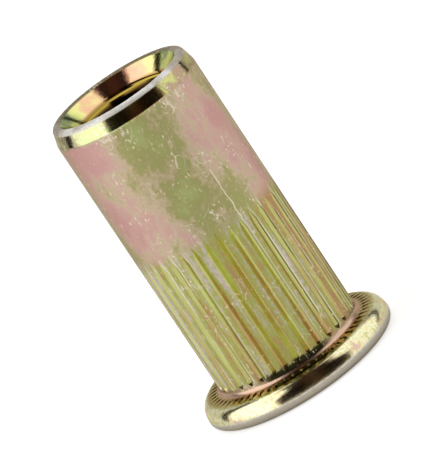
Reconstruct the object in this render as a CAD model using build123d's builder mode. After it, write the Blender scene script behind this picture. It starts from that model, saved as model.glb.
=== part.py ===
from build123d import *
import os
from math import cos, radians, sin, tan

# Flat-head blind rivet nut with a knurled body, formed in one piece.
# Millimetres. The nut stands on its head: head face at z = 0, open threaded end up, axis on +Z.

# Sizes that make the nut.
length = 19.4              # head face to the rim of the open end
shank_d = 9.0              # body diameter, also over the knurl's lands
head_d = 12.0              # flange diameter
head_thick = 1.41          # height of the underside where the shoulder starts
wall = 1.05                # wall of the part of the body that folds when the nut is set
thread_d = 6.0             # metric thread, nominal
thread_pitch = 1.0
thread_zone = 8.8          # open end to the end of the threaded length

# Flange: its rim is a shallow barrel between two rounded edges, and a narrow shoulder leads to
# the underside, which rises to the body. Widths follow the overhang, so a narrow flange has them too.
overhang = (head_d - shank_d) / 2
face_round = 0.34          # edge on the face side
barrel_round = 1.60
barrel_low = 5.0           # the barrel's slope where the face edge ends
barrel_high = 18.0         # and where the edge on the grip side starts
shoulder_slope = 22.0
shoulder_width = 0.067 * overhang
underside_slope = 4.5
root_fillet = 0.187 * overhang

# Knurl round the folding part of the body: V flutes with plain lands between them.
flute_count = 36
flute_depth = 0.19
flute_angle = 96.0         # included angle
flute_lancet = 0.80        # length of the pointed run-out at the upper end
flute_foot = 0.24          # length of the run-out at the head
foot_gap = 0.02            # root fillet to the foot of a flute

# Serrations under the head.
serration_count = 60
serration_depth = 0.13     # deepest, at the top of the ramp
serration_angle = 100.0    # included angle
serration_rise = 8.0       # slope of the floor, up towards the edge
serration_ramp = 0.08 * overhang  # length of the run-out towards the body

# Open end and hole.
nose_length = 0.95         # tapered lead, measured along the axis
nose_angle = 15.5
nose_blend = 0.50          # body to lead
rim_round = 0.33           # lead to countersink
mouth_angle = 45.0         # countersink, per side
face_chamfer = 0.30        # screw entry in the head face
drill_angle = 60.0         # cone between the wide bore and the thread, per side

# What follows from them.
shank_r = shank_d / 2
head_r = head_d / 2
bore_r = shank_r - wall
thread_minor_r = thread_d / 2 - 0.5 * thread_pitch
bore_depth = length - thread_zone
drill_height = (bore_r - thread_minor_r) / tan(radians(drill_angle))
knurl_end = bore_depth

# Corners of the flange, from the rim to the body.
low, high = radians(barrel_low), radians(barrel_high)
barrel_z = face_round * (1 - sin(low)) + barrel_round * (sin(low) + sin(high))
barrel_r = head_r - barrel_round * (1 - cos(high))
face_r = head_r - barrel_round * (1 - cos(low)) - face_round * cos(low)
edge_z = head_thick - shoulder_width * tan(radians(shoulder_slope))
edge_round = (edge_z - barrel_z) / (cos(radians(shoulder_slope)) - sin(high))
edge_r = barrel_r - edge_round * (cos(high) - sin(radians(shoulder_slope)))
slope = radians(underside_slope)
shoulder_r = edge_r - shoulder_width
root_r = shank_r + root_fillet * (1 - sin(slope))
root_z = head_thick + (shoulder_r - root_r) * tan(slope)
knurl_start = root_z + root_fillet * cos(slope)

# The turned section, drawn from the head face up the outside and back down the hole.
with BuildPart() as rivet_nut:
    with BuildSketch(Plane.XZ) as section:
        with BuildLine():
            face = Line((bore_r + face_chamfer, 0), (face_r, 0))
            corner = JernArc(face @ 1, (1, 0), face_round, 90 - barrel_low)
            barrel = JernArc(corner @ 1, corner % 1, barrel_round, barrel_low + barrel_high)
            edge = JernArc(barrel @ 1, barrel % 1, edge_round, 90 - shoulder_slope - barrel_high)
            underside = Polyline(edge @ 1, (shoulder_r, head_thick), (root_r, root_z))
            root = JernArc(underside @ 1, underside % 1, root_fillet, underside_slope - 90)
            blend_start = length - nose_length - nose_blend * tan(radians(nose_angle / 2))
            body = Line(root @ 1, (shank_r, blend_start))
            blend = JernArc(body @ 1, (0, 1), nose_blend, nose_angle)
            lip_start = length - rim_round * (1 - sin(radians(nose_angle)))
            lead_length = (lip_start - (blend @ 1).Y) / cos(radians(nose_angle))
            lead = PolarLine(blend @ 1, lead_length, 90 + nose_angle)
            lip = JernArc(lead @ 1, lead % 1, rim_round, 180 - mouth_angle - nose_angle)
            mouth_depth = ((lip @ 1).X - thread_minor_r) / tan(radians(mouth_angle))
            Polyline(
                lip @ 1,
                (thread_minor_r, (lip @ 1).Y - mouth_depth),
                (thread_minor_r, bore_depth),
                (bore_r, bore_depth - drill_height),
                (bore_r, face_chamfer),
                face @ 0,
            )
        make_face()
    revolve(axis=Axis.Z)

# The tools that cut the knurl and the serrations stand this far out of the surface they enter.
over = 0.05


def flute_outline(z):
    """The section of a flute at full depth, on the plane at height z."""
    reach = (flute_depth + over) * tan(radians(flute_angle / 2))
    with BuildSketch(Plane.XY.offset(z)) as outline:
        Polygon(
            (shank_r - flute_depth, 0),
            (shank_r + over, -reach),
            (shank_r + over, reach),
            align=None,
        )
    return outline.sketch


def run_out(outline, depth, run, z_sign):
    """Slide an outline out of the surface: it rises by its depth while it moves along by run."""
    clear = 1 + over / depth / 4
    extrude(outline, amount=clear * (depth**2 + run**2) ** 0.5, dir=(depth, 0, z_sign * run))


# One flute: full depth along the knurl, a pointed end above and a short foot at the head.
flute_low = knurl_start + foot_gap + flute_foot
flute_high = knurl_end - flute_lancet
with BuildPart() as flute:
    extrude(flute_outline(flute_low), amount=flute_high - flute_low)
    run_out(flute_outline(flute_high), flute_depth, flute_lancet, 1)
    run_out(flute_outline(flute_low), flute_depth, flute_foot, -1)

# One serration: it rises gently to the edge, out over the shoulder, and steeply towards the body.
ramp_r = root_r + serration_ramp
ramp_z = head_thick + (shoulder_r - ramp_r) * tan(slope)
with BuildPart() as serration:
    reach = (serration_depth + over) * tan(radians(serration_angle / 2))
    with BuildSketch(Plane.YZ.offset(ramp_r)) as vee:
        Polygon(
            (0, ramp_z - serration_depth),
            (reach, ramp_z + over),
            (-reach, ramp_z + over),
            align=None,
        )
    rise = radians(serration_rise)
    extrude(vee.sketch, amount=(head_r - ramp_r) / cos(rise), dir=(cos(rise), 0, sin(rise)))
    ramp_height = serration_depth + serration_ramp * tan(slope) + over / 4
    extrude(
        vee.sketch,
        amount=(serration_ramp**2 + ramp_height**2) ** 0.5,
        dir=(-serration_ramp, 0, ramp_height),
    )

with rivet_nut:
    with PolarLocations(0, flute_count, start_angle=90 / flute_count):
        add(flute.part, mode=Mode.SUBTRACT)
    with PolarLocations(0, serration_count):
        add(serration.part, mode=Mode.SUBTRACT)

os.makedirs("parts", exist_ok=True)
rivet_nut.part.label = "rivet_nut"
export_step(rivet_nut.part, "parts/rivet_nut.step")
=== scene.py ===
from math import cos, pi, radians, sin, tan

import bpy
from mathutils import Matrix, Vector


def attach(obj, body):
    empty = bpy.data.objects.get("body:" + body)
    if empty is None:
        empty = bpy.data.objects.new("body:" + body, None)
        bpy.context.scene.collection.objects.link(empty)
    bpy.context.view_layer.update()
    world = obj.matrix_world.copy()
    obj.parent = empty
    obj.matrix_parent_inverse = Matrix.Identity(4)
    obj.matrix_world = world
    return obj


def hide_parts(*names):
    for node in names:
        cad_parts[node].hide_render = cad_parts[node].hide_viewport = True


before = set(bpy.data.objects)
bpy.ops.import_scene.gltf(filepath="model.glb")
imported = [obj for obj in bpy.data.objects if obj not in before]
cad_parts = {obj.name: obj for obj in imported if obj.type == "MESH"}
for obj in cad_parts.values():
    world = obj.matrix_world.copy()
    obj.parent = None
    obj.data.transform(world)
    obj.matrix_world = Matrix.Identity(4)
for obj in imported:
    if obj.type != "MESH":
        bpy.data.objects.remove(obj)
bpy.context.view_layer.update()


# Rivet nut. One piece of low-carbon steel, cold-headed and turned, with a knurled folding zone, a
# serrated grip face and a cut thread in the open end. Zinc-plated, then dipped in yellow chromate,
# and tumbled in bulk with other nuts, which scuffs the body and leaves the turned edges bright.
mm = 0.001                                # sizes are in millimetres, heights from the head face
length = 19.4
head_r = 6.0
shank_r = 4.5
wall = 1.05                               # of the part of the body that folds when the nut is set
bore_r = shank_r - wall
face_chamfer = 0.3
thread_zone = 8.8                         # open end to the end of the thread
bore_depth = length - thread_zone
pitch = 1.0
thread_major_r = 3.0
thread_minor_r = thread_major_r - pitch / 2
drill_height = (bore_r - thread_minor_r) / tan(radians(60))

# Flange. Its rim is a belly and a flatter barrel between two rounded edges. A narrow shoulder leads
# to the underside, which rises to the body.
head_thick = 1.41
belly_z = 0.45
belly_round = 0.90
barrel_top = 0.944
shoulder_width = 0.10
root_fillet = 0.28
face_slope = radians(5)                   # the rim's slope where the face edge ends,
belly_slope = radians(9.5)                # where the belly ends,
barrel_slope = radians(18)                # and where the grip edge starts
shoulder_slope = radians(22)
underside_slope = radians(4.5)
face_round = (belly_z - belly_round * sin(face_slope)) / (1 - sin(face_slope))
face_r = head_r - belly_round * (1 - cos(face_slope)) - face_round * cos(face_slope)
barrel_rise = barrel_top - belly_z - belly_round * sin(belly_slope)
barrel_round = barrel_rise / (sin(barrel_slope) - sin(belly_slope))
barrel_in = head_r - belly_round * (1 - cos(belly_slope)) - barrel_round * cos(belly_slope)
barrel_z = belly_z + (belly_round - barrel_round) * sin(belly_slope)
edge_top = head_thick - shoulder_width * tan(shoulder_slope)
edge_round = (edge_top - barrel_top) / (cos(shoulder_slope) - sin(barrel_slope))
edge_in = barrel_in + (barrel_round - edge_round) * cos(barrel_slope)
edge_z = barrel_top - edge_round * sin(barrel_slope)
edge_r = edge_in + edge_round * sin(shoulder_slope)
shoulder_r = edge_r - shoulder_width
root_r = shank_r + root_fillet * (1 - sin(underside_slope))
root_z = head_thick + (shoulder_r - root_r) * tan(underside_slope)
knurl_start = root_z + root_fillet * cos(underside_slope)

# Knurl. V flutes with plain lands between them, pointed above and run out short at the head.
flutes = 36
flute_depth = 0.19
flute_half = 0.211                        # half its width at the body's surface
flute_turn = radians(2.5)                 # a quarter of their spacing
lancet = 0.80
foot = 0.24
foot_low = knurl_start + 0.02
foot_high = foot_low + foot
lancet_low = bore_depth - lancet

# Serrations under the head. Their floors rise gently to the edge, and steeply to the body.
serrations = 60
serration_depth = 0.13
serration_half_angle = radians(50)
serration_rise = radians(8)
ramp_r = root_r + 0.12
ramp_end = 4.64
ramp_low = head_thick + (shoulder_r - ramp_r) * tan(underside_slope) - serration_depth
ramp_top = knurl_start - (root_fillet**2 - (shank_r + root_fillet - ramp_end) ** 2) ** 0.5

# Open end. A blend, a tapered lead and a rounded lip lead to the 45 degree countersink.
lead_length = 0.95
lead_slope = radians(15.5)
blend_round = 0.5
lip_round = 0.33
blend_start = length - lead_length - blend_round * tan(lead_slope / 2)
lead_r = shank_r - blend_round + blend_round * cos(lead_slope)
lip_z = length - lip_round
lead_rise = lip_z + lip_round * sin(lead_slope) - blend_start - blend_round * sin(lead_slope)
lip_r = lead_r - lead_rise * tan(lead_slope) - lip_round * cos(lead_slope)

# The mesh is made of rows round the nut. The outer ones start down the bore, cross the head face,
# climb the outside and end on the lip. The inner ones climb with the thread.
columns = 360                             # ten to a flute, six to a serration
rows_per_pitch = 10
seam_z = 9.5                              # in the bore, where outer and inner rows meet
rows = []


def arc(r, z, radius, start, end, steps):
    """Points of an arc about (r, z), from angle start to angle end, ends included."""
    angles = [start + (end - start) * i / steps for i in range(steps + 1)]
    return [(r + radius * cos(a), z + radius * sin(a)) for a in angles]


def line(start, end, steps):
    """Points from start to end, without end."""
    across, up = end[0] - start[0], end[1] - start[1]
    return [(start[0] + across * i / steps, start[1] + up * i / steps) for i in range(steps)]


def add_row(r, z, cells=flutes, half=flute_half / shank_r, cut=(0.0, 0.0), share=0.3, turn=flute_turn):
    """Adds a row at one point of the section, with the grooves that cross it: how many stand round
    the nut, half the angle that one takes, its middle's move outwards and up, its share of the
    columns, and the angle of the first."""
    rows.append(dict(r=r, z=z, cells=cells, half=half, cut=cut, share=share, turn=turn))


for r, z in [
    *line((bore_r, seam_z), (bore_r, face_chamfer), 6),
    *line((bore_r, face_chamfer), (bore_r + face_chamfer, 0), 2),
    *line((bore_r + face_chamfer, 0), (face_r, 0), 4),
    *arc(face_r, face_round, face_round, -pi / 2, -face_slope, 8)[:-1],
    *arc(head_r - belly_round, belly_z, belly_round, -face_slope, belly_slope, 5)[:-1],
    *arc(barrel_in, barrel_z, barrel_round, belly_slope, barrel_slope, 5)[:-1],
    *arc(edge_in, edge_z, edge_round, barrel_slope, pi / 2 - shoulder_slope, 10)[:-1],
]:
    add_row(r, z)
root = arc(shank_r + root_fillet, knurl_start, root_fillet, 1.5 * pi - underside_slope, pi, 12)
for r, z in [
    *line((edge_r, edge_top), (shoulder_r, head_thick), 4),
    *line((shoulder_r, head_thick), (root_r, root_z), 14),
    *[point for point in root if point[0] > ramp_end],
]:
    outward = ramp_low + (r - ramp_r) * tan(serration_rise)
    inward = ramp_low + (ramp_r - r) * (ramp_top - ramp_low) / (ramp_r - ramp_end)
    sunk = max(0.0, z - max(outward, inward))
    half = max(sunk, 0.004) * tan(serration_half_angle) / r
    add_row(r, z, cells=serrations, half=half, cut=(0.0, -sunk), share=1 / 3, turn=0.0)
for r, z in [point for point in root if point[0] <= ramp_end]:
    add_row(r, z)
for z, fullness in [
    *[(foot_low + foot * i / 6, i / 6) for i in range(1, 7)],
    *[(foot_high + (lancet_low - foot_high) * i / 12, 1.0) for i in range(1, 13)],
    *[(lancet_low + lancet * i / 12, 1 - i / 12) for i in range(1, 13)],
]:
    half = max(fullness, 0.03) * flute_half / shank_r
    add_row(shank_r, z, half=half, cut=(-flute_depth * fullness, 0.0))
lip = arc(lip_r, lip_z, lip_round, lead_slope, 0.75 * pi, 14)
for r, z in [
    *line((shank_r, bore_depth + 0.4), (shank_r, blend_start), 6),
    *arc(shank_r - blend_round, blend_start, blend_round, 0, lead_slope, 4),
    *lip[:-1],
]:
    add_row(r, z)
# The first and the last row stand on even columns, because they meet the inner ones.
mouth_r, mouth_z = lip[-1]
add_row(mouth_r, mouth_z, cells=columns, half=0.0, turn=0.0)
rows[0].update(cells=columns, half=0.0, turn=0.0)

profile = bpy.data.meshes.new("profile")
points = [(row["r"] * mm, 0, row["z"] * mm) for row in rows]
profile.from_pydata(points, [(i, i + 1) for i in range(len(rows) - 1)], [])
for name in ("cells", "half", "share", "turn"):
    values = [float(row[name]) for row in rows]
    profile.attributes.new(name, "FLOAT", "POINT").data.foreach_set("value", values)
cuts = [move * mm for row in rows for move in (row["cut"][0], 0.0, row["cut"][1])]
profile.attributes.new("cut", "FLOAT_VECTOR", "POINT").data.foreach_set("vector", cuts)


def add(tree, kind, inputs=None, **settings):
    """Adds a node with its settings, and gives each input a value or a link from another node."""
    made = tree.nodes.new(kind)
    for name, value in settings.items():
        setattr(made, name, value)
    for name, value in (inputs or {}).items():
        if isinstance(value, bpy.types.NodeSocket):
            tree.links.new(value, made.inputs[name])
        else:
            made.inputs[name].default_value = value
    return made


nut_tree = bpy.data.node_groups.new("turned and knurled", "GeometryNodeTree")
interface = nut_tree.interface
interface.new_socket("Geometry", in_out="INPUT", socket_type="NodeSocketGeometry")
sizes = {
    "Columns": columns,
    "Rows per pitch": rows_per_pitch,
    "Pitch": pitch * mm,
    "Minor radius": thread_minor_r * mm,
    "Thread depth": (thread_major_r - thread_minor_r) * mm,
    "Bore radius": bore_r * mm,
    "Bore depth": bore_depth * mm,
    "Drill height": drill_height * mm,
    "Seam": seam_z * mm,
    "Mouth radius": mouth_r * mm,
    "Mouth depth": (mouth_r - thread_minor_r) * mm,
    "Top": mouth_z * mm,
}
for name, value in sizes.items():
    kind = "NodeSocketInt" if isinstance(value, int) else "NodeSocketFloat"
    interface.new_socket(name, in_out="INPUT", socket_type=kind)
interface.new_socket("Material", in_out="INPUT", socket_type="NodeSocketMaterial")
interface.new_socket("Geometry", in_out="OUTPUT", socket_type="NodeSocketGeometry")
given = nut_tree.nodes.new("NodeGroupInput").outputs
index = add(nut_tree, "GeometryNodeInputIndex").outputs[0]
around = add(nut_tree, "ShaderNodeMath", {0: given["Columns"], 1: 1.0}, operation="ADD").outputs[0]

# Outer rows: each column stands at an angle that follows the grooves of its row.
count = add(nut_tree, "GeometryNodeAttributeDomainSize", {0: given["Geometry"]}).outputs["Point Count"]
inputs = {"Vertices X": around, "Vertices Y": count}
shell = add(nut_tree, "GeometryNodeMeshGrid", inputs).outputs["Mesh"]
column = add(nut_tree, "ShaderNodeMath", {0: index, 1: count}, operation="DIVIDE").outputs[0]
column = add(nut_tree, "ShaderNodeMath", {0: column}, operation="FLOOR").outputs[0]
row = add(nut_tree, "ShaderNodeMath", {0: index, 1: count}, operation="MODULO").outputs[0]
sampled = {}
for name, kind in [
    ("cells", "FLOAT"),
    ("half", "FLOAT"),
    ("share", "FLOAT"),
    ("turn", "FLOAT"),
    ("cut", "FLOAT_VECTOR"),
    ("position", "FLOAT_VECTOR"),
]:
    read = add(nut_tree, "GeometryNodeInputNamedAttribute", {"Name": name}, data_type=kind)
    inputs = {"Geometry": given["Geometry"], "Value": read.outputs["Attribute"], "Index": row}
    sampled[name] = add(nut_tree, "GeometryNodeSampleIndex", inputs, data_type=kind).outputs[0]
# Where a column stands, counted in cells. The small addition decides for those that stand halfway.
cell = column
for operation, value in [("MULTIPLY", sampled["cells"]), ("DIVIDE", given["Columns"]), ("ADD", 0.0001)]:
    cell = add(nut_tree, "ShaderNodeMath", {0: cell, 1: value}, operation=operation).outputs[0]
whole = add(nut_tree, "ShaderNodeMath", {0: cell}, operation="ROUND").outputs[0]
off = add(nut_tree, "ShaderNodeMath", {0: cell, 1: whole}, operation="SUBTRACT").outputs[0]
far = add(nut_tree, "ShaderNodeMath", {0: off}, operation="ABSOLUTE").outputs[0]
side = add(nut_tree, "ShaderNodeMath", {0: off}, operation="SIGN").outputs[0]
step = add(nut_tree, "ShaderNodeMath", {0: 2 * pi, 1: sampled["cells"]}, operation="DIVIDE").outputs[0]
land = add(nut_tree, "ShaderNodeMath", {0: step, 1: 0.5}, operation="MULTIPLY").outputs[0]
land = add(nut_tree, "ShaderNodeMath", {0: land, 1: sampled["half"]}, operation="SUBTRACT").outputs[0]
inputs = {"Value": far, "From Max": sampled["share"], "To Max": sampled["half"]}
in_groove = add(nut_tree, "ShaderNodeMapRange", inputs).outputs[0]
inputs = {"Value": far, "From Min": sampled["share"], "From Max": 0.5, "To Max": land}
on_land = add(nut_tree, "ShaderNodeMapRange", inputs).outputs[0]
swing = add(nut_tree, "ShaderNodeMath", {0: in_groove, 1: on_land}, operation="ADD").outputs[0]
angle = sampled["turn"]
for value, share in [(whole, step), (side, swing)]:
    inputs = {0: value, 1: share, 2: angle}
    angle = add(nut_tree, "ShaderNodeMath", inputs, operation="MULTIPLY_ADD").outputs[0]
inputs = {"Value": far, "From Max": sampled["share"], "To Min": 1.0, "To Max": 0.0}
depth = add(nut_tree, "ShaderNodeMapRange", inputs).outputs[0]
inputs = {0: sampled["cut"], "Scale": depth}
outer = add(nut_tree, "ShaderNodeVectorMath", inputs, operation="SCALE").outputs[0]
inputs = {0: sampled["position"], 1: outer}
outer = add(nut_tree, "ShaderNodeVectorMath", inputs, operation="ADD").outputs[0]
inputs = {"Vector": outer, "Angle": angle}
outer = add(nut_tree, "ShaderNodeVectorRotate", inputs, rotation_type="Z_AXIS").outputs[0]
inputs = {"Geometry": shell, "Position": outer}
shell = add(nut_tree, "GeometryNodeSetPosition", inputs).outputs[0]
# The finish reads how deep in a groove it lies, and where across the cell.
groove = add(nut_tree, "ShaderNodeVectorMath", {0: sampled["cut"]}, operation="LENGTH").outputs["Value"]
inputs = {0: groove, 1: flute_depth * mm}
groove = add(nut_tree, "ShaderNodeMath", inputs, operation="DIVIDE").outputs[0]
groove = add(nut_tree, "ShaderNodeMath", {0: groove, 1: depth}, operation="MULTIPLY").outputs[0]
across = add(nut_tree, "ShaderNodeMath", {0: off, 1: 2.0}, operation="MULTIPLY").outputs[0]
for name, value in [("groove", groove), ("across", across)]:
    inputs = {"Geometry": shell, "Name": name, "Value": value}
    shell = add(nut_tree, "GeometryNodeStoreNamedAttribute", inputs).outputs[0]

# Inner rows climb by one pitch a turn. Countersink and drill cone cut the thread where they are wider.
inner_rows = given["Top"]
for operation, value in [
    ("SUBTRACT", given["Seam"]),
    ("DIVIDE", given["Pitch"]),
    ("ADD", 1.0),
    ("MULTIPLY", given["Rows per pitch"]),
    ("ADD", 2.0),
    ("FLOOR", 0.0),
]:
    inputs = {0: inner_rows, 1: value}
    inner_rows = add(nut_tree, "ShaderNodeMath", inputs, operation=operation).outputs[0]
inputs = {"Vertices X": around, "Vertices Y": inner_rows}
inside = add(nut_tree, "GeometryNodeMeshGrid", inputs).outputs["Mesh"]
turned = add(nut_tree, "ShaderNodeMath", {0: index, 1: inner_rows}, operation="DIVIDE").outputs[0]
turned = add(nut_tree, "ShaderNodeMath", {0: turned}, operation="FLOOR").outputs[0]
inputs = {0: turned, 1: given["Columns"]}
turned = add(nut_tree, "ShaderNodeMath", inputs, operation="DIVIDE").outputs[0]
pitches = add(nut_tree, "ShaderNodeMath", {0: index, 1: inner_rows}, operation="MODULO").outputs[0]
inputs = {0: pitches, 1: given["Rows per pitch"]}
pitches = add(nut_tree, "ShaderNodeMath", inputs, operation="DIVIDE").outputs[0]
level = add(nut_tree, "ShaderNodeMath", {0: pitches, 1: turned}, operation="ADD").outputs[0]
level = add(nut_tree, "ShaderNodeMath", {0: level, 1: 1.0}, operation="SUBTRACT").outputs[0]
inputs = {0: level, 1: given["Pitch"], 2: given["Seam"]}
level = add(nut_tree, "ShaderNodeMath", inputs, operation="MULTIPLY_ADD").outputs[0]
level = add(nut_tree, "ShaderNodeMath", {0: level, 1: given["Seam"]}, operation="MAXIMUM").outputs[0]
level = add(nut_tree, "ShaderNodeMath", {0: level, 1: given["Top"]}, operation="MINIMUM").outputs[0]
# The thread's crest is flat over a quarter of the pitch, and its root over an eighth.
phase = add(nut_tree, "ShaderNodeMath", {0: pitches, 1: 0.5}, operation="PINGPONG").outputs[0]
inputs = {"Value": phase, "From Min": 1 / 8, "From Max": 7 / 16, "To Max": given["Thread depth"]}
vee = add(nut_tree, "ShaderNodeMapRange", inputs).outputs[0]
reach = add(nut_tree, "ShaderNodeMath", {0: given["Minor radius"], 1: vee}, operation="ADD").outputs[0]
inputs = {0: given["Bore depth"], 1: given["Drill height"]}
drill_low = add(nut_tree, "ShaderNodeMath", inputs, operation="SUBTRACT").outputs[0]
inputs = {0: given["Top"], 1: given["Mouth depth"]}
mouth_low = add(nut_tree, "ShaderNodeMath", inputs, operation="SUBTRACT").outputs[0]
for low, high, low_radius, high_radius in [
    (drill_low, given["Bore depth"], given["Bore radius"], given["Minor radius"]),
    (mouth_low, given["Top"], given["Minor radius"], given["Mouth radius"]),
]:
    inputs = {"Value": level, "From Min": low, "From Max": high}
    inputs |= {"To Min": low_radius, "To Max": high_radius}
    cone = add(nut_tree, "ShaderNodeMapRange", inputs).outputs[0]
    reach = add(nut_tree, "ShaderNodeMath", {0: reach, 1: cone}, operation="MAXIMUM").outputs[0]
inner = add(nut_tree, "ShaderNodeCombineXYZ", {"X": reach, "Z": level}).outputs[0]
inputs = {0: turned, 1: 2 * pi, 2: -pi / 2}
angle = add(nut_tree, "ShaderNodeMath", inputs, operation="MULTIPLY_ADD").outputs[0]
inputs = {"Vector": inner, "Angle": angle}
inner = add(nut_tree, "ShaderNodeVectorRotate", inputs, rotation_type="Z_AXIS").outputs[0]
inputs = {"Geometry": inside, "Position": inner}
inside = add(nut_tree, "GeometryNodeSetPosition", inputs).outputs[0]
inside = add(nut_tree, "GeometryNodeFlipFaces", {"Mesh": inside}).outputs[0]

both = nut_tree.nodes.new("GeometryNodeJoinGeometry")
for surface in (inside, shell):
    nut_tree.links.new(surface, both.inputs[0])
inputs = {"Geometry": both.outputs[0], "Distance": 0.0008 * mm}
closed = add(nut_tree, "GeometryNodeMergeByDistance", inputs).outputs[0]
closed = add(nut_tree, "GeometryNodeRealizeInstances", {"Geometry": closed}).outputs[0]
inputs = {"Geometry": closed, "Material": given["Material"]}
closed = add(nut_tree, "GeometryNodeSetMaterial", inputs).outputs[0]
nut_tree.links.new(closed, nut_tree.nodes.new("NodeGroupOutput").inputs[0])


# Yellow chromate on zinc. A film well under a micron thick, so that it colours the metal by
# interference: green, straw and pink lie side by side, and the bare turned edges stay mirror-bright.
zinc = bpy.data.materials.new("yellow chromate on zinc")
zinc.use_nodes = True
film = zinc.node_tree
film.nodes.clear()
place = add(film, "ShaderNodeTexCoord").outputs["Object"]
spot = add(film, "ShaderNodeSeparateXYZ", {0: place}).outputs
polar = add(film, "ShaderNodeMath", {0: spot["Y"], 1: spot["X"]}, operation="ARCTAN2").outputs[0]
inputs = {0: place, 1: (1.0, 1.0, 0.0)}
flat = add(film, "ShaderNodeVectorMath", inputs, operation="MULTIPLY").outputs[0]
radius = add(film, "ShaderNodeVectorMath", {0: flat}, operation="LENGTH").outputs["Value"]
height = add(film, "ShaderNodeMath", {0: spot["Z"], 1: length * mm}, operation="DIVIDE").outputs[0]
sideways = add(film, "ShaderNodeMath", {0: spot["X"]}, operation="ABSOLUTE").outputs[0]
groove = add(film, "ShaderNodeAttribute", attribute_name="groove").outputs["Fac"]
across = add(film, "ShaderNodeAttribute", attribute_name="across").outputs["Fac"]

# Noises, each with the size of its marks in mm, its detail and the factor on heights, which draws the
# marks out along the nut. The zinc's own crystals are far too fine to show, so grain and flecks are
# drawn coarser.
noises = {}
for name, size, detail, squeeze in [
    ("cloud", 2.2, 3.5, 0.55),
    ("grain", 0.22, 2.0, 0.8),
    ("streak", 0.55, 3.0, 0.10),
    ("swirl", 1.3, 3.0, 1.0),
    ("patch", 1.6, 2.0, 1.0),
    ("fleck", 0.15, 1.0, 0.6),
    ("curl", 0.9, 1.0, 0.5),
]:
    inputs = {0: place, 1: (1.0, 1.0, squeeze)}
    squeezed = add(film, "ShaderNodeVectorMath", inputs, operation="MULTIPLY").outputs[0]
    inputs = {"Vector": squeezed, "Scale": 1 / (size * mm), "Detail": detail, "Roughness": 0.6}
    noises[name] = add(film, "ShaderNodeTexNoise", inputs).outputs[0]
rough = add(film, "ShaderNodeMath", {0: noises["grain"], 1: 0.5}, operation="SUBTRACT").outputs[0]

# The film drained in three lobes round the nut, which lean a little. The tints also drift from the
# left side to the right, and the drift stops 3.5 mm left of the axis.
inputs = {0: spot["Z"], 1: radians(8) / mm, 2: radians(146)}
lean = add(film, "ShaderNodeMath", inputs, operation="MULTIPLY_ADD").outputs[0]
lobe = add(film, "ShaderNodeMath", {0: polar, 1: 3.0, 2: lean}, operation="MULTIPLY_ADD").outputs[0]
lobe = add(film, "ShaderNodeMath", {0: lobe}, operation="COSINE").outputs[0]
drift_start, drift_end = -3.5, 4.5
inputs = {"Value": spot["X"], "From Min": drift_start * mm, "From Max": drift_end * mm}
inputs |= {"To Min": drift_start, "To Max": drift_end}
drift = add(film, "ShaderNodeMapRange", inputs).outputs[0]

# Blends of these. Each starts from one value and adds shares of others.
blends = {}
for name, value, shares in [
    ("body", noises["cloud"], [(lobe, 0.15), (noises["grain"], 0.28), (drift, 0.010)]),
    ("flute", noises["streak"], [(across, 0.16), (drift, -0.018)]),
    ("crest", noises["streak"], [(noises["grain"], 0.5), (lobe, 0.05), (drift, -0.020)]),
    ("lead", noises["swirl"], [(spot["X"], 1 / (9 * mm))]),
    ("rim", noises["swirl"], [(noises["grain"], 0.5)]),
    ("mouth", noises["swirl"], [(sideways, 1 / (4.5 * mm))]),
    ("lip", noises["swirl"], [(spot["Y"], 1 / (9 * mm))]),
    ("ragged height", spot["Z"], [(rough, 0.4 * mm)]),
    ("frayed height", height, [(rough, 0.012)]),
    ("wear", noises["fleck"], [(noises["patch"], 0.55)]),
    ("wobble", spot["X"], [(noises["swirl"], 0.5 * mm)]),
]:
    for source, share in shares:
        inputs = {0: source, 1: share, 2: value}
        value = add(film, "ShaderNodeMath", inputs, operation="MULTIPLY_ADD").outputs[0]
    blends[name] = value
inputs = {0: blends["mouth"], 1: 0.5}
mouth_blend = add(film, "ShaderNodeMath", inputs, operation="MULTIPLY").outputs[0]


def srgb(code):
    """A linear colour from an sRGB hex code, with its alpha where the code has one."""
    parts = [int(code[i : i + 2], 16) / 255 for i in (1, 3, 5)]
    linear = [p / 12.92 if p <= 0.04045 else ((p + 0.055) / 1.055) ** 2.4 for p in parts]
    return (*linear, int(code[7:9] or "ff", 16) / 255)


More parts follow.
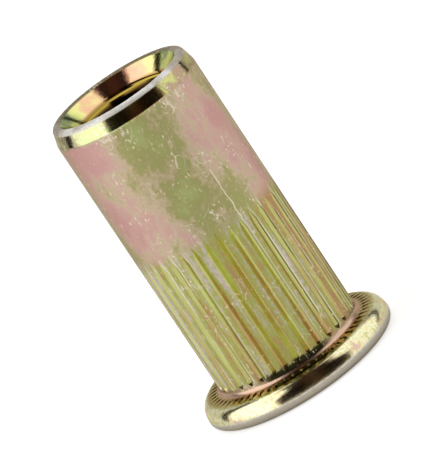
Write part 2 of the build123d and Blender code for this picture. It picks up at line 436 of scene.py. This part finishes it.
# Tints, each with the value that picks them and the span of its stops: 1, or the nut's length where
# the stops are heights in mm.
tints = {}
for name, value, span, stops in [
    ("body", blends["body"], 1, [
        (0.42, "#d6a8a2"), (0.53, "#d9b4a8"), (0.60, "#d6c2a6"), (0.67, "#c6b990"),
        (0.73, "#b4ae78"), (0.78, "#aeae72"), (0.90, "#b8c07e"),
    ]),
    ("flute", blends["flute"], 1, [
        (0.33, "#d0b07a"), (0.43, "#d0c47e"), (0.52, "#d4d684"), (0.68, "#dee696"),
    ]),
    ("crest", blends["crest"], 1, [
        (0.58, "#c09a6e"), (0.65, "#bba768"), (0.72, "#b5b866"), (0.79, "#b8bc72"),
        (0.86, "#c8c0a4"), (0.96, "#dcd0c4"),
    ]),
    ("lead", blends["lead"], 1, [
        (0.05, "#a89f80"), (0.15, "#ccd09c"), (0.38, "#d2dc9c"), (0.58, "#c8bf78"),
        (0.72, "#cda878"), (0.84, "#ccd284"), (0.98, "#b49c80"),
    ]),
    ("rim", blends["rim"], 1, [
        (0.60, "#dcc0a8"), (0.69, "#ece0a8"), (0.78, "#f2efc8"), (0.92, "#d4d090"),
    ]),
    ("mouth", mouth_blend, 1, [
        (0.34, "#eeb79c"), (0.43, "#eec898"), (0.50, "#eee79a"), (0.61, "#dadf8c"),
        (0.66, "#a8b482"),
    ]),
    # The lip is near white in front and darker towards the back: a painted highlight on its front.
    ("lip", blends["lip"], 1, [
        (0.06, "#fffdf8"), (0.26, "#d6cec0"), (0.45, "#a89b84"), (0.72, "#857a56"),
    ]),
    # The thread darkens deeper into the bore: painted shade.
    ("thread", height, length, [
        (17.60, "#150d09"), (18.12, "#2c1b10"), (18.24, "#4a3418"), (18.32, "#c2a64a"),
        (18.41, "#8f7a30"), (18.50, "#a98a4c"), (18.62, "#dcae84"),
    ]),
    # The flange's face edge is dark where it meets the floor: painted shade.
    ("flange", blends["frayed height"], length, [
        (0.0, "#6f6746"), (0.10, "#b7af9a"), (0.50, "#cdc6ba"), (0.66, "#ffffff00"),
        (1.32, "#ffffff00"), (1.37, "#c8c478"), (1.43, "#bcae66"), (1.46, "#b98a62"),
        (1.52, "#d8b09c"), (1.72, "#c8b394"), (1.95, "#cfa09600"),
    ]),
]:
    ramp = add(film, "ShaderNodeValToRGB", {"Fac": value})
    while len(ramp.color_ramp.elements) < len(stops):
        ramp.color_ramp.elements.new(1.0)
    for element, (position, code) in zip(ramp.color_ramp.elements, stops):
        element.position = position / span
        element.color = srgb(code)
    tints[name] = ramp.outputs

# Masks, each from 0 to 1 over a range of one value.
facing = add(film, "ShaderNodeLayerWeight", {"Blend": 0.5}).outputs["Facing"]
masks = {}
for name, value, start, end in [
    ("knurled", spot["Z"], 10.9 * mm, 10.1 * mm),
    ("fluted", groove, 0.04, 0.25),
    ("cut", groove, 0.0, 0.06),
    # Grazing angles turn grey-olive: a painted sheen.
    ("grazing sheen", facing, 0.55, 0.95),
    ("off centre", sideways, 1.0 * mm, 2.6 * mm),
    ("aside", sideways, 1.7 * mm, 2.5 * mm),
    ("unbroken", noises["streak"], 0.40, 0.52),
    ("foot", blends["ragged height"], 2.05 * mm, 1.92 * mm),
    ("under head", spot["Z"], 1.66 * mm, 1.60 * mm),
    ("head", spot["Z"], 1.60 * mm, 1.36 * mm),
    ("lead", blends["ragged height"], 18.32 * mm, 18.46 * mm),
    ("lip", spot["Z"], 19.12 * mm, 19.20 * mm),
    ("within", radius, 3.77 * mm, 3.72 * mm),
    ("threaded", radius, 3.08 * mm, 3.04 * mm),
    ("deep", spot["Z"], 18.68 * mm, 18.52 * mm),
    ("gilt", noises["fleck"], 0.64, 0.72),
    ("rubbed", noises["patch"], 0.50, 0.60),
]:
    inputs = {"Value": value, "From Min": start, "From Max": end}
    masks[name] = add(film, "ShaderNodeMapRange", inputs).outputs[0]
# A dark line in each flute's right corner is painted shade, and a bright line on the land beside it
# is a painted highlight. Both show only on the knurl, towards its sides.
for name, centre, half in [("corner", 0.50, 0.11), ("ridge highlight", 0.72, 0.15)]:
    mark = add(film, "ShaderNodeMath", {0: across, 1: centre}, operation="SUBTRACT").outputs[0]
    mark = add(film, "ShaderNodeMath", {0: mark}, operation="ABSOLUTE").outputs[0]
    inputs = {"Value": mark, "From Min": half, "From Max": half / 3}
    mark = add(film, "ShaderNodeMapRange", inputs).outputs[0]
    for zone in ("knurled", "off centre", "unbroken"):
        mark = add(film, "ShaderNodeMath", {0: mark, 1: masks[zone]}, operation="MULTIPLY").outputs[0]
    masks[name] = mark
# Masks made of two or three others. The serration grooves are drawn darker. The knurl's foot is
# painted shade in front and behind, away from its sides.
for name, first, operation, others in [
    ("serrated", "cut", "MULTIPLY", ["under head"]),
    ("foot shade", "foot", "SUBTRACT", ["aside", "under head"]),
    ("deep thread", "threaded", "MULTIPLY", ["deep"]),
    ("rubbed lip", "lip", "SUBTRACT", ["within"]),
]:
    mask = masks[first]
    for other in others:
        inputs = {0: mask, 1: masks[other]}
        mask = add(film, "ShaderNodeMath", inputs, operation=operation, use_clamp=True).outputs[0]
    masks[name] = mask
# Specks of thicker film are gilt. There are none inside the mouth.
gilt = add(film, "ShaderNodeMath", {0: masks["gilt"], 1: 0.7}, operation="MULTIPLY").outputs[0]
inputs = {0: gilt, 1: masks["within"]}
gilt = add(film, "ShaderNodeMath", inputs, operation="SUBTRACT", use_clamp=True).outputs[0]

# Scuffs, down to the zinc, where nuts rubbed in the barrel: bright flecks that lie thicker round four
# places (x, y, z and radius in mm), hair scratches in patches, and one long scratch down the front.
worn = blends["wear"]
for x, y, z, size in [
    (-2.5, -3.7, 10.6, 1.1),
    (-2.8, -3.5, 2.0, 0.9),
    (2.9, -3.4, 17.8, 0.6),
    (-2.0, -4.0, 18.35, 0.9),
]:
    inputs = {0: place, 1: (x * mm, y * mm, z * mm)}
    away = add(film, "ShaderNodeVectorMath", inputs, operation="DISTANCE").outputs["Value"]
    inputs = {"Value": away, "From Max": size * mm, "To Min": 0.11, "To Max": 0.0}
    more = add(film, "ShaderNodeMapRange", inputs).outputs[0]
    worn = add(film, "ShaderNodeMath", {0: worn, 1: more}, operation="ADD").outputs[0]
worn = add(film, "ShaderNodeMapRange", {"Value": worn, "From Min": 0.96, "From Max": 1.05}).outputs[0]
inputs = {0: noises["curl"], 1: 0.5, 2: 0.006}
hair = add(film, "ShaderNodeMath", inputs, operation="COMPARE").outputs[0]
hair = add(film, "ShaderNodeMath", {0: hair, 1: masks["rubbed"]}, operation="MULTIPLY").outputs[0]
hair = add(film, "ShaderNodeMath", {0: hair, 1: 0.8}, operation="MULTIPLY").outputs[0]
scratch = add(film, "ShaderNodeMath", {0: spot["Y"], 1: 0.0}, operation="LESS_THAN").outputs[0]
for value, middle, reach in [(blends["wobble"], 2.18, 0.035), (spot["Z"], 11.9, 1.7)]:
    inputs = {0: value, 1: middle * mm, 2: reach * mm}
    near = add(film, "ShaderNodeMath", inputs, operation="COMPARE").outputs[0]
    scratch = add(film, "ShaderNodeMath", {0: scratch, 1: near}, operation="MULTIPLY").outputs[0]
for mark in (hair, scratch):
    worn = add(film, "ShaderNodeMath", {0: worn, 1: mark}, operation="MAXIMUM").outputs[0]
for zone in ("head", "within"):
    inputs = {0: worn, 1: masks[zone]}
    worn = add(film, "ShaderNodeMath", inputs, operation="SUBTRACT", use_clamp=True).outputs[0]

# Each layer takes its colour over the one before it. Painted light and shade among them: the flutes'
# dark corner lines, the bright lines beside them, the grazing sheen, the flange's dark face edge, the
# dark front and back of the knurl's foot, the lip's white front and the dark deep thread.
colour = tints["body"][0]
for mask, layer in [
    (masks["knurled"], tints["crest"][0]),
    (masks["fluted"], tints["flute"][0]),
    (masks["corner"], srgb("#6f7038")),
    (masks["ridge highlight"], srgb("#f0e6d2")),
    (masks["grazing sheen"], srgb("#bdb090")),
    (masks["lead"], tints["lead"][0]),
    (masks["head"], tints["rim"][0]),
    (tints["flange"][1], tints["flange"][0]),
    (masks["serrated"], srgb("#4a481e")),
    (masks["foot shade"], srgb("#36321c")),
    (masks["lip"], tints["lip"][0]),
    (masks["within"], tints["mouth"][0]),
    (masks["deep thread"], tints["thread"][0]),
    (gilt, srgb("#dcc68a")),
    (worn, srgb("#efe4c8")),
]:
    colour = add(film, "ShaderNodeMix", {0: mask, 6: colour, 7: layer}, data_type="RGBA").outputs[2]

# Gloss: the turned edges are smooth, the tumbled body is satin, and the lip is rubbed dull. Pits from
# pickling are too fine to show, and are drawn as shallow dents 0.35 mm wide.
inputs = {"Value": noises["grain"], "From Min": 0.3, "From Max": 0.7, "To Min": 0.30, "To Max": 0.44}
gloss = add(film, "ShaderNodeMapRange", inputs).outputs[0]
for zone, roughness in [
    ("fluted", 0.24),
    ("lead", 0.13),
    ("foot", 0.28),
    ("head", 0.15),
    ("lip", 0.34),
    ("within", 0.12),
]:
    gloss = add(film, "ShaderNodeMix", {0: masks[zone], 2: gloss, 3: roughness}).outputs[0]
inputs = {0: masks["rubbed lip"], 1: -0.75, 2: 1.0}
metal = add(film, "ShaderNodeMath", inputs, operation="MULTIPLY_ADD").outputs[0]
inputs = {"Vector": place, "Scale": 1 / (0.35 * mm), "Detail": 5.0, "Roughness": 0.65}
pits = add(film, "ShaderNodeTexNoise", inputs).outputs[0]
inputs = {"Height": pits, "Strength": 0.25, "Distance": 0.03 * mm}
dents = add(film, "ShaderNodeBump", inputs).outputs[0]
inputs = {0: 0.45, 6: colour, 7: srgb("#ffffff")}
sheen = add(film, "ShaderNodeMix", inputs, data_type="RGBA").outputs[2]
inputs = {"Base Color": colour, "Specular Tint": sheen, "Metallic": metal, "Roughness": gloss}
inputs |= {"Normal": dents}
plated = add(film, "ShaderNodeBsdfPrincipled", inputs).outputs[0]
add(film, "ShaderNodeOutputMaterial", {"Surface": plated})

blank = bpy.data.objects.new("blank", profile)
bpy.context.scene.collection.objects.link(blank)
turning = blank.modifiers.new("turning", "NODES")
turning.node_group = nut_tree
sockets = {s.name: s.identifier for s in interface.items_tree if s.in_out == "INPUT"}
for name, value in sizes.items():
    turning[sockets[name]] = value
turning[sockets["Material"]] = zinc
depsgraph = bpy.context.evaluated_depsgraph_get()
nut_mesh = bpy.data.meshes.new_from_object(blank.evaluated_get(depsgraph))
blank.modifiers.remove(turning)
bpy.data.objects.remove(blank)
nut_mesh.materials.pop(index=0)           # the joined grids leave an empty first slot
nut = bpy.data.objects.new("rivet_nut_finished", nut_mesh)
bpy.context.scene.collection.objects.link(nut)
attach(nut, "root")
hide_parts("rivet_nut")


# Floor. A large sheet of matt white card, which lies a hair below the head face, so that the two
# never share a plane. Seen directly it glows a little, so that it fades into the white around it.
floor_half = 0.8
floor_low = -0.01 * mm
card = bpy.data.materials.new("white card")
card.use_nodes = True
card_tree = card.node_tree
card_tree.nodes.clear()
paper = add(card_tree, "ShaderNodeBsdfDiffuse", {"Color": srgb("#e8e6e4")}).outputs[0]
lit = add(card_tree, "ShaderNodeEmission", {"Color": srgb("#ffffff"), "Strength": 0.2}).outputs[0]
lit_seen = add(card_tree, "ShaderNodeEmission", {"Color": srgb("#ffffff"), "Strength": 0.6}).outputs[0]
seen = add(card_tree, "ShaderNodeLightPath").outputs["Is Camera Ray"]
glow = add(card_tree, "ShaderNodeMixShader", {0: seen, 1: lit, 2: lit_seen}).outputs[0]
sheet = add(card_tree, "ShaderNodeAddShader", {0: paper, 1: glow}).outputs[0]
add(card_tree, "ShaderNodeOutputMaterial", {"Surface": sheet})
floor_mesh = bpy.data.meshes.new("floor")
corners = [(x * floor_half, y * floor_half, floor_low) for x, y in ((-1, -1), (1, -1), (1, 1), (-1, 1))]
floor_mesh.from_pydata(corners, [], [(0, 1, 2, 3)])
floor_mesh.materials.append(card)
floor = bpy.data.objects.new("floor", floor_mesh)
bpy.context.scene.collection.objects.link(floor)


# Light. A tent of white cloth round the nut, brighter on its left side and dimmer at the back. It is
# open in front and above, where the room is dark, and that shows as a black lens in every glossy
# edge. Its two seams are dark bands.
world = bpy.data.worlds.new("light tent")
bpy.context.scene.world = world
world.use_nodes = True
tent = world.node_tree
tent.nodes.clear()
way = add(tent, "ShaderNodeTexCoord").outputs["Generated"]
axes = add(tent, "ShaderNodeSeparateXYZ", {0: way}).outputs
inputs = {"Vector": way, "Angle": radians(-6.5)}
opening_way = add(tent, "ShaderNodeVectorRotate", inputs, rotation_type="Z_AXIS").outputs[0]
opening_axes = add(tent, "ShaderNodeSeparateXYZ", {0: opening_way}).outputs
wide = add(tent, "ShaderNodeMath", {0: opening_axes["X"]}, operation="ABSOLUTE").outputs[0]
inputs = {0: axes["Z"], 1: 0.657, 2: wide}
narrowing = add(tent, "ShaderNodeMath", inputs, operation="MULTIPLY_ADD").outputs[0]
dark = 1.0
for value, start, end in [
    (narrowing, 0.96, 0.91),              # the opening narrows upwards,
    (wide, 0.76, 0.70),                   # and ends at the sides,
    (axes["Y"], 0.13, 0.07),              # behind the nut
    (axes["Z"], 0.0, 0.05),               # and at the floor
]:
    inputs = {"Value": value, "From Min": start, "From Max": end}
    limit = add(tent, "ShaderNodeMapRange", inputs).outputs[0]
    dark = add(tent, "ShaderNodeMath", {0: limit, 1: dark}, operation="MULTIPLY").outputs[0]
for side, slant, seam_half in [(-1, 0.12, 0.11), (1, 0.56, 0.08)]:
    inputs = {0: axes["Z"], 1: -slant, 2: axes["Y"]}
    seam = add(tent, "ShaderNodeMath", inputs, operation="MULTIPLY_ADD").outputs[0]
    seam = add(tent, "ShaderNodeMath", {0: seam, 1: 0.42, 2: seam_half}, operation="COMPARE").outputs[0]
    beside = add(tent, "ShaderNodeMath", {0: axes["X"], 1: side}, operation="MULTIPLY").outputs[0]
    beside = add(tent, "ShaderNodeMath", {0: beside, 1: 0.3}, operation="GREATER_THAN").outputs[0]
    seam = add(tent, "ShaderNodeMath", {0: seam, 1: beside}, operation="MULTIPLY").outputs[0]
    dark = add(tent, "ShaderNodeMath", {0: dark, 1: seam}, operation="MAXIMUM").outputs[0]
inputs = {"Value": axes["X"], "From Min": -0.85, "From Max": 0.6, "To Min": 1.55, "To Max": 1.08}
sides = add(tent, "ShaderNodeMapRange", inputs).outputs[0]
inputs = {"Value": axes["Y"], "From Min": 0.5, "From Max": 0.6, "To Min": sides, "To Max": 0.65}
cloth = add(tent, "ShaderNodeMapRange", inputs).outputs[0]
# The dark room is a warm brown, and a little lighter right in front.
inputs = {"Value": wide, "From Min": 0.05, "From Max": 0.25, "To Min": 0.07, "To Max": 0.012}
room = add(tent, "ShaderNodeMapRange", inputs).outputs[0]
strength = add(tent, "ShaderNodeMix", {0: dark, 2: cloth, 3: room}).outputs[0]
seen = add(tent, "ShaderNodeLightPath").outputs["Is Camera Ray"]
strength = add(tent, "ShaderNodeMix", {0: seen, 2: strength, 3: 1.0}).outputs[0]
inputs = {0: dark, 6: srgb("#ffffff"), 7: srgb("#d8a080")}
hue = add(tent, "ShaderNodeMix", inputs, data_type="RGBA").outputs[2]
light = add(tent, "ShaderNodeBackground", {"Color": hue, "Strength": strength}).outputs[0]
add(tent, "ShaderNodeOutputWorld", {"Surface": light})


# Camera. A long lens 270 mm away and a little above the nut, turned about its own axis, so that the
# nut leans in the frame while it stands upright on the floor.
distance = 270
aim_right, aim_down = 0.661, 0.16         # from the nut's middle
azimuth, elevation, roll = radians(-88.8), radians(14.45), radians(33.53)
camera = bpy.data.objects.new("camera", bpy.data.cameras.new("camera"))
bpy.context.scene.collection.objects.link(camera)
bpy.context.scene.camera = camera
bpy.context.scene.view_settings.view_transform = "Standard"
camera.data.lens = 374.4
camera.data.clip_start = 0.01
camera.data.clip_end = 3.0
backwards = Vector((cos(azimuth) * cos(elevation), sin(azimuth) * cos(elevation), sin(elevation)))
level_right = Vector((-sin(azimuth), cos(azimuth), 0))
level_up = backwards.cross(level_right)
right = level_right * cos(roll) - level_up * sin(roll)
up = level_right * sin(roll) + level_up * cos(roll)
target = Vector((0, 0, length / 2 * mm)) + right * aim_right * mm - up * aim_down * mm
facing_nut = Matrix((right, up, backwards)).transposed().to_4x4()
camera.matrix_world = Matrix.Translation(target + backwards * distance * mm) @ facing_nut
